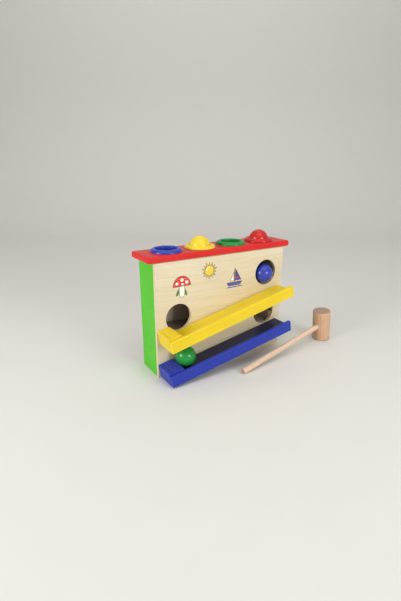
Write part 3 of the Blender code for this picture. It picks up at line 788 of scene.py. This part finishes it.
class TOY_OT_inner_run(bpy.types.Operator):
    """Gives the run inside its hardboard, the back panel its fibreboard and the dowels their beech"""

    bl_idname = "toy.inner_run"
    bl_label = "Inner Run"

    def execute(self, context):
        colours = context.scene.toy_colours
        board = pressed_board("hardboard, pressed", colours.hardboard)
        dowel = turned_wood("beech dowel, turned and sanded", colours.beech, colours.beech_line, marked=False)
        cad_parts["back_panel"].material_slots[0].material = raw_board()
        for name in RUN_PIECES:
            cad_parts[name].material_slots[0].material = board
        for name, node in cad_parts.items():
            if "dowel" in name:
                node.material_slots[0].material = dowel
        return {"FINISHED"}


class TOY_OT_back_pins(bpy.types.Operator):
    """Sets pins round the edge of the back panel"""

    bl_idname = "toy.back_pins"
    bl_label = "Back Pins"

    def execute(self, context):
        sizes = context.scene.toy_sizes
        steps = context.scene.toy_steps
        low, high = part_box("back_panel")
        left, right = low.x + sizes.pin_gap, high.x - sizes.pin_gap
        bottom, top = low.z + sizes.pin_gap, high.z - sizes.pin_gap
        places = []
        for index in range(PIN_COLUMNS):
            x = left + (right - left) * index / (PIN_COLUMNS - 1)
            places += [(x, bottom), (x, top)]
        for index in range(PIN_ROWS):
            z = low.z + (high.z - low.z) * (index + 1) / (PIN_ROWS + 1)
            places += [(left, z), (right, z)]
        lie_back = Matrix.Rotation(-QUARTER_TURN, 4, "X")
        radius = sizes.pin_head / 2
        bm = bmesh.new()
        for x, z in places:
            place = Matrix.Translation((x, high.y + sizes.pin_rise / 2, z)) @ lie_back
            bmesh.ops.create_cone(
                bm, cap_ends=True, segments=steps.pin_steps, radius1=radius, radius2=PIN_TOP * radius,
                depth=sizes.pin_rise, matrix=place
            )
        settle("back_pins", bm, "toy", "hardboard", [pin_steel()])
        return {"FINISHED"}


class TOY_OT_rings(bpy.types.Operator):
    """Turns the four plastic rings from the section of the frame's rings"""

    bl_idname = "toy.rings"
    bl_label = "Rings"

    def execute(self, context):
        steps = context.scene.toy_steps.round_steps
        for name in RING_NAMES:
            node = name + "_ring"
            centre = middle(node)
            bm = welded(node)
            cut(bm, centre, BACK, dist=WELD)
            off = [vert for vert in bm.verts if abs(vert.co.y - centre.y) > WELD or vert.co.x < centre.x]
            bmesh.ops.delete(bm, geom=off, context="VERTS")
            bmesh.ops.delete(bm, geom=bm.faces[:], context="FACES_ONLY")
            section = bm.verts[:] + bm.edges[:]
            bmesh.ops.spin(
                bm, geom=section, cent=centre, axis=UP, angle=math.tau, steps=steps, use_merge=True
            )
            bmesh.ops.remove_doubles(bm, verts=bm.verts[:], dist=WELD)
            bmesh.ops.recalc_face_normals(bm, faces=bm.faces[:])
            mark_grain(bm, (RIGHT, BACK, UP), centre)
            plastic = abs_plastic("ABS, moulded, %s ring" % name, loose_colour(name))
            settle(node + "_moulded", bm, "toy", name + "_plastic", [plastic], node)
        return {"FINISHED"}


class TOY_OT_balls(bpy.types.Operator):
    """Turns the four wooden balls, with the lathe's mark at both ends"""

    bl_idname = "toy.balls"
    bl_label = "Balls"

    def execute(self, context):
        steps = context.scene.toy_steps
        mark = context.scene.toy_sizes.ball_mark
        for name, (tilt, turn) in BALL_TILTS.items():
            node = name + "_ball"
            low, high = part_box(node)
            centre = (low + high) / 2
            radius = (high.z - low.z) / 2
            bm = bmesh.new()
            bmesh.ops.create_uvsphere(
                bm, u_segments=steps.round_steps, v_segments=steps.ball_steps, radius=radius
            )
            for vert in bm.verts:
                if abs(vert.co.z) > radius - WELD:
                    vert.co.z -= math.copysign(mark, vert.co.z)
            turned = Matrix.Rotation(math.radians(turn), 4, "Z") @ Matrix.Rotation(math.radians(tilt), 4, "X")
            axes = [turned @ axis for axis in (UP, RIGHT, BACK)]
            bmesh.ops.transform(bm, matrix=Matrix.Translation(centre) @ turned, verts=bm.verts[:])
            mark_grain(bm, axes, centre)
            slot = "leaf_paint" if name == "green" else name + "_paint"
            lacquer = ball_lacquer("lacquer on turned wood, %s ball" % name, loose_colour(name))
            settle(node + "_turned", bm, node, slot, [lacquer], node)
        return {"FINISHED"}


class TOY_OT_mallet(bpy.types.Operator):
    """Gives the mallet's head and handle their turned wood, with end grain on their ends"""

    bl_idname = "toy.mallet"
    bl_label = "Mallet"

    def execute(self, context):
        colours = context.scene.toy_colours
        ends = turned_wood("beech end grain, sanded", colours.beech_end, colours.beech_end_line)
        head = turned_wood("beech, turned and sanded", colours.beech, colours.beech_line)
        handle = turned_wood("birch dowel, sanded", colours.handle, colours.handle_line)
        for node, side in (("mallet_head", head), ("mallet_handle", handle)):
            bm = welded(node)
            axes = own_axes(node)
            mark_grain(bm, axes, middle(node))
            for face in bm.faces:
                if abs(face.normal.dot(axes[0])) > SAME_WAY:
                    face.material_index = 1
            settle(node + "_turned", bm, "mallet", "beech", [side, ends], node)
        return {"FINISHED"}


class TOY_OT_stage(bpy.types.Operator):
    """Lays the paper, hangs the lamps and sets the camera"""

    bl_idname = "toy.stage"
    bl_label = "Stage"

    def execute(self, context):
        stage = context.scene.toy_stage
        context.scene.view_settings.view_transform = "Standard"
        self.lay_paper(stage, context.scene.toy_steps.paper_steps)
        for name, (place, size, aim) in LAMPS.items():
            light = bpy.data.lights.new(name, "AREA")
            light.shape = "RECTANGLE"
            light.size, light.size_y = size
            light.energy = getattr(stage, name)
            self.hang(name, light, place, aim)
        self.light_room(stage)
        camera = bpy.data.cameras.new("camera")
        camera.lens = stage.lens
        camera.clip_start = CLIP_START
        context.scene.camera = self.hang("camera", camera, stage.camera, stage.aim)
        return {"FINISHED"}

    def hang(self, name, data, place, aim):
        """Puts a lamp or the camera at its place and turns it to what it looks at."""
        hung = bpy.data.objects.new(name, data)
        look = (Vector(aim) - Vector(place)).to_track_quat("-Z", "Y")
        hung.matrix_world = Matrix.Translation(place) @ look.to_matrix().to_4x4()
        bpy.context.scene.collection.objects.link(hung)
        return hung

    def lay_paper(self, stage, steps):
        """A floor that curves up into a wall behind the toy, square to the camera's view."""
        bm = bmesh.new()
        front = bm.verts.new((-stage.paper_side, -stage.paper_front, 0.0))
        back = bm.verts.new((-stage.paper_side, stage.paper_back, 0.0))
        bm.edges.new((front, back))
        centre = back.co + stage.paper_bend * UP
        bend = bmesh.ops.spin(bm, geom=[back], cent=centre, axis=RIGHT, angle=QUARTER_TURN, steps=steps)
        wall = bmesh.ops.extrude_vert_indiv(bm, verts=points_of(bend["geom_last"]))["verts"]
        bmesh.ops.translate(bm, vec=stage.paper_wall * UP, verts=wall)
        across = bmesh.ops.extrude_edge_only(bm, edges=bm.edges[:])["geom"]
        bmesh.ops.translate(bm, vec=2 * stage.paper_side * RIGHT, verts=points_of(across))
        view = stage.aim - stage.camera
        turn = Matrix.Rotation(-math.atan2(view.x, view.y), 3, "Z")
        bmesh.ops.rotate(bm, cent=(0.0, 0.0, 0.0), matrix=turn, verts=bm.verts[:])
        bmesh.ops.recalc_face_normals(bm, faces=bm.faces[:])
        mesh = bpy.data.meshes.new("paper")
        bm.to_mesh(mesh)
        bm.free()
        mesh.shade_smooth()
        mesh.materials.append(studio_paper())
        sheet = bpy.data.objects.new("paper", mesh)
        bpy.context.scene.collection.objects.link(sheet)

    def light_room(self, stage):
        """Even light from all round, as from pale studio walls."""
        world = bpy.data.worlds.new("studio")
        world.use_nodes = True
        sky = world.node_tree.nodes["Background"]
        sky.inputs["Color"].default_value = tone(stage.room_tint)
        sky.inputs["Strength"].default_value = stage.room_light
        bpy.context.scene.world = world


class TOY_PT_finish(bpy.types.Panel):
    """Lists the pieces of the toy and their settings in the 3D view's sidebar"""

    bl_idname = "TOY_PT_finish"
    bl_label = "Ball Pounding Toy"
    bl_space_type = "VIEW_3D"
    bl_region_type = "UI"
    bl_category = "Pounding Toy"

    def draw(self, context):
        for operator in OPERATORS:
            self.layout.operator(operator.bl_idname)
        for name, group in SETTINGS.items():
            box = self.layout.box()
            for setting in group.__annotations__:
                box.prop(getattr(context.scene, name), setting)


# Each print: the place of its middle on the front panel, in mm, and what draws it.
PRINTS = {
    "toadstool": (-72.0, 130.5, draw_toadstool),
    "sun": (-27.0, 147.0, draw_sun),
    "boat": (18.0, 130.0, draw_boat),
}
SETTINGS = {"toy_colours": ToyColours, "toy_sizes": ToySizes, "toy_steps": ToySteps, "toy_stage": ToyStage}
OPERATORS = (
    TOY_OT_top_board,
    TOY_OT_end_boards,
    TOY_OT_plywood,
    TOY_OT_prints,
    TOY_OT_ramps,
    TOY_OT_rings,
    TOY_OT_balls,
    TOY_OT_inner_run,
    TOY_OT_back_pins,
    TOY_OT_mallet,
    TOY_OT_stage,
)


def register():
    """Registers the settings, the operators and the panel."""
    for name, group in SETTINGS.items():
        bpy.utils.register_class(group)
        setattr(bpy.types.Scene, name, PointerProperty(type=group))
    for operator in OPERATORS:
        bpy.utils.register_class(operator)
    bpy.utils.register_class(TOY_PT_finish)


def unregister():
    """Takes away what register added, the last first."""
    bpy.utils.unregister_class(TOY_PT_finish)
    for operator in reversed(OPERATORS):
        bpy.utils.unregister_class(operator)
    for name, group in reversed(SETTINGS.items()):
        delattr(bpy.types.Scene, name)
        bpy.utils.unregister_class(group)


def main():
    """Dresses the toy, one operator after the other."""
    register()
    for operator in OPERATORS:
        group, name = operator.bl_idname.split(".")
        getattr(getattr(bpy.ops, group), name)()


if __name__ == "__main__":
    main()
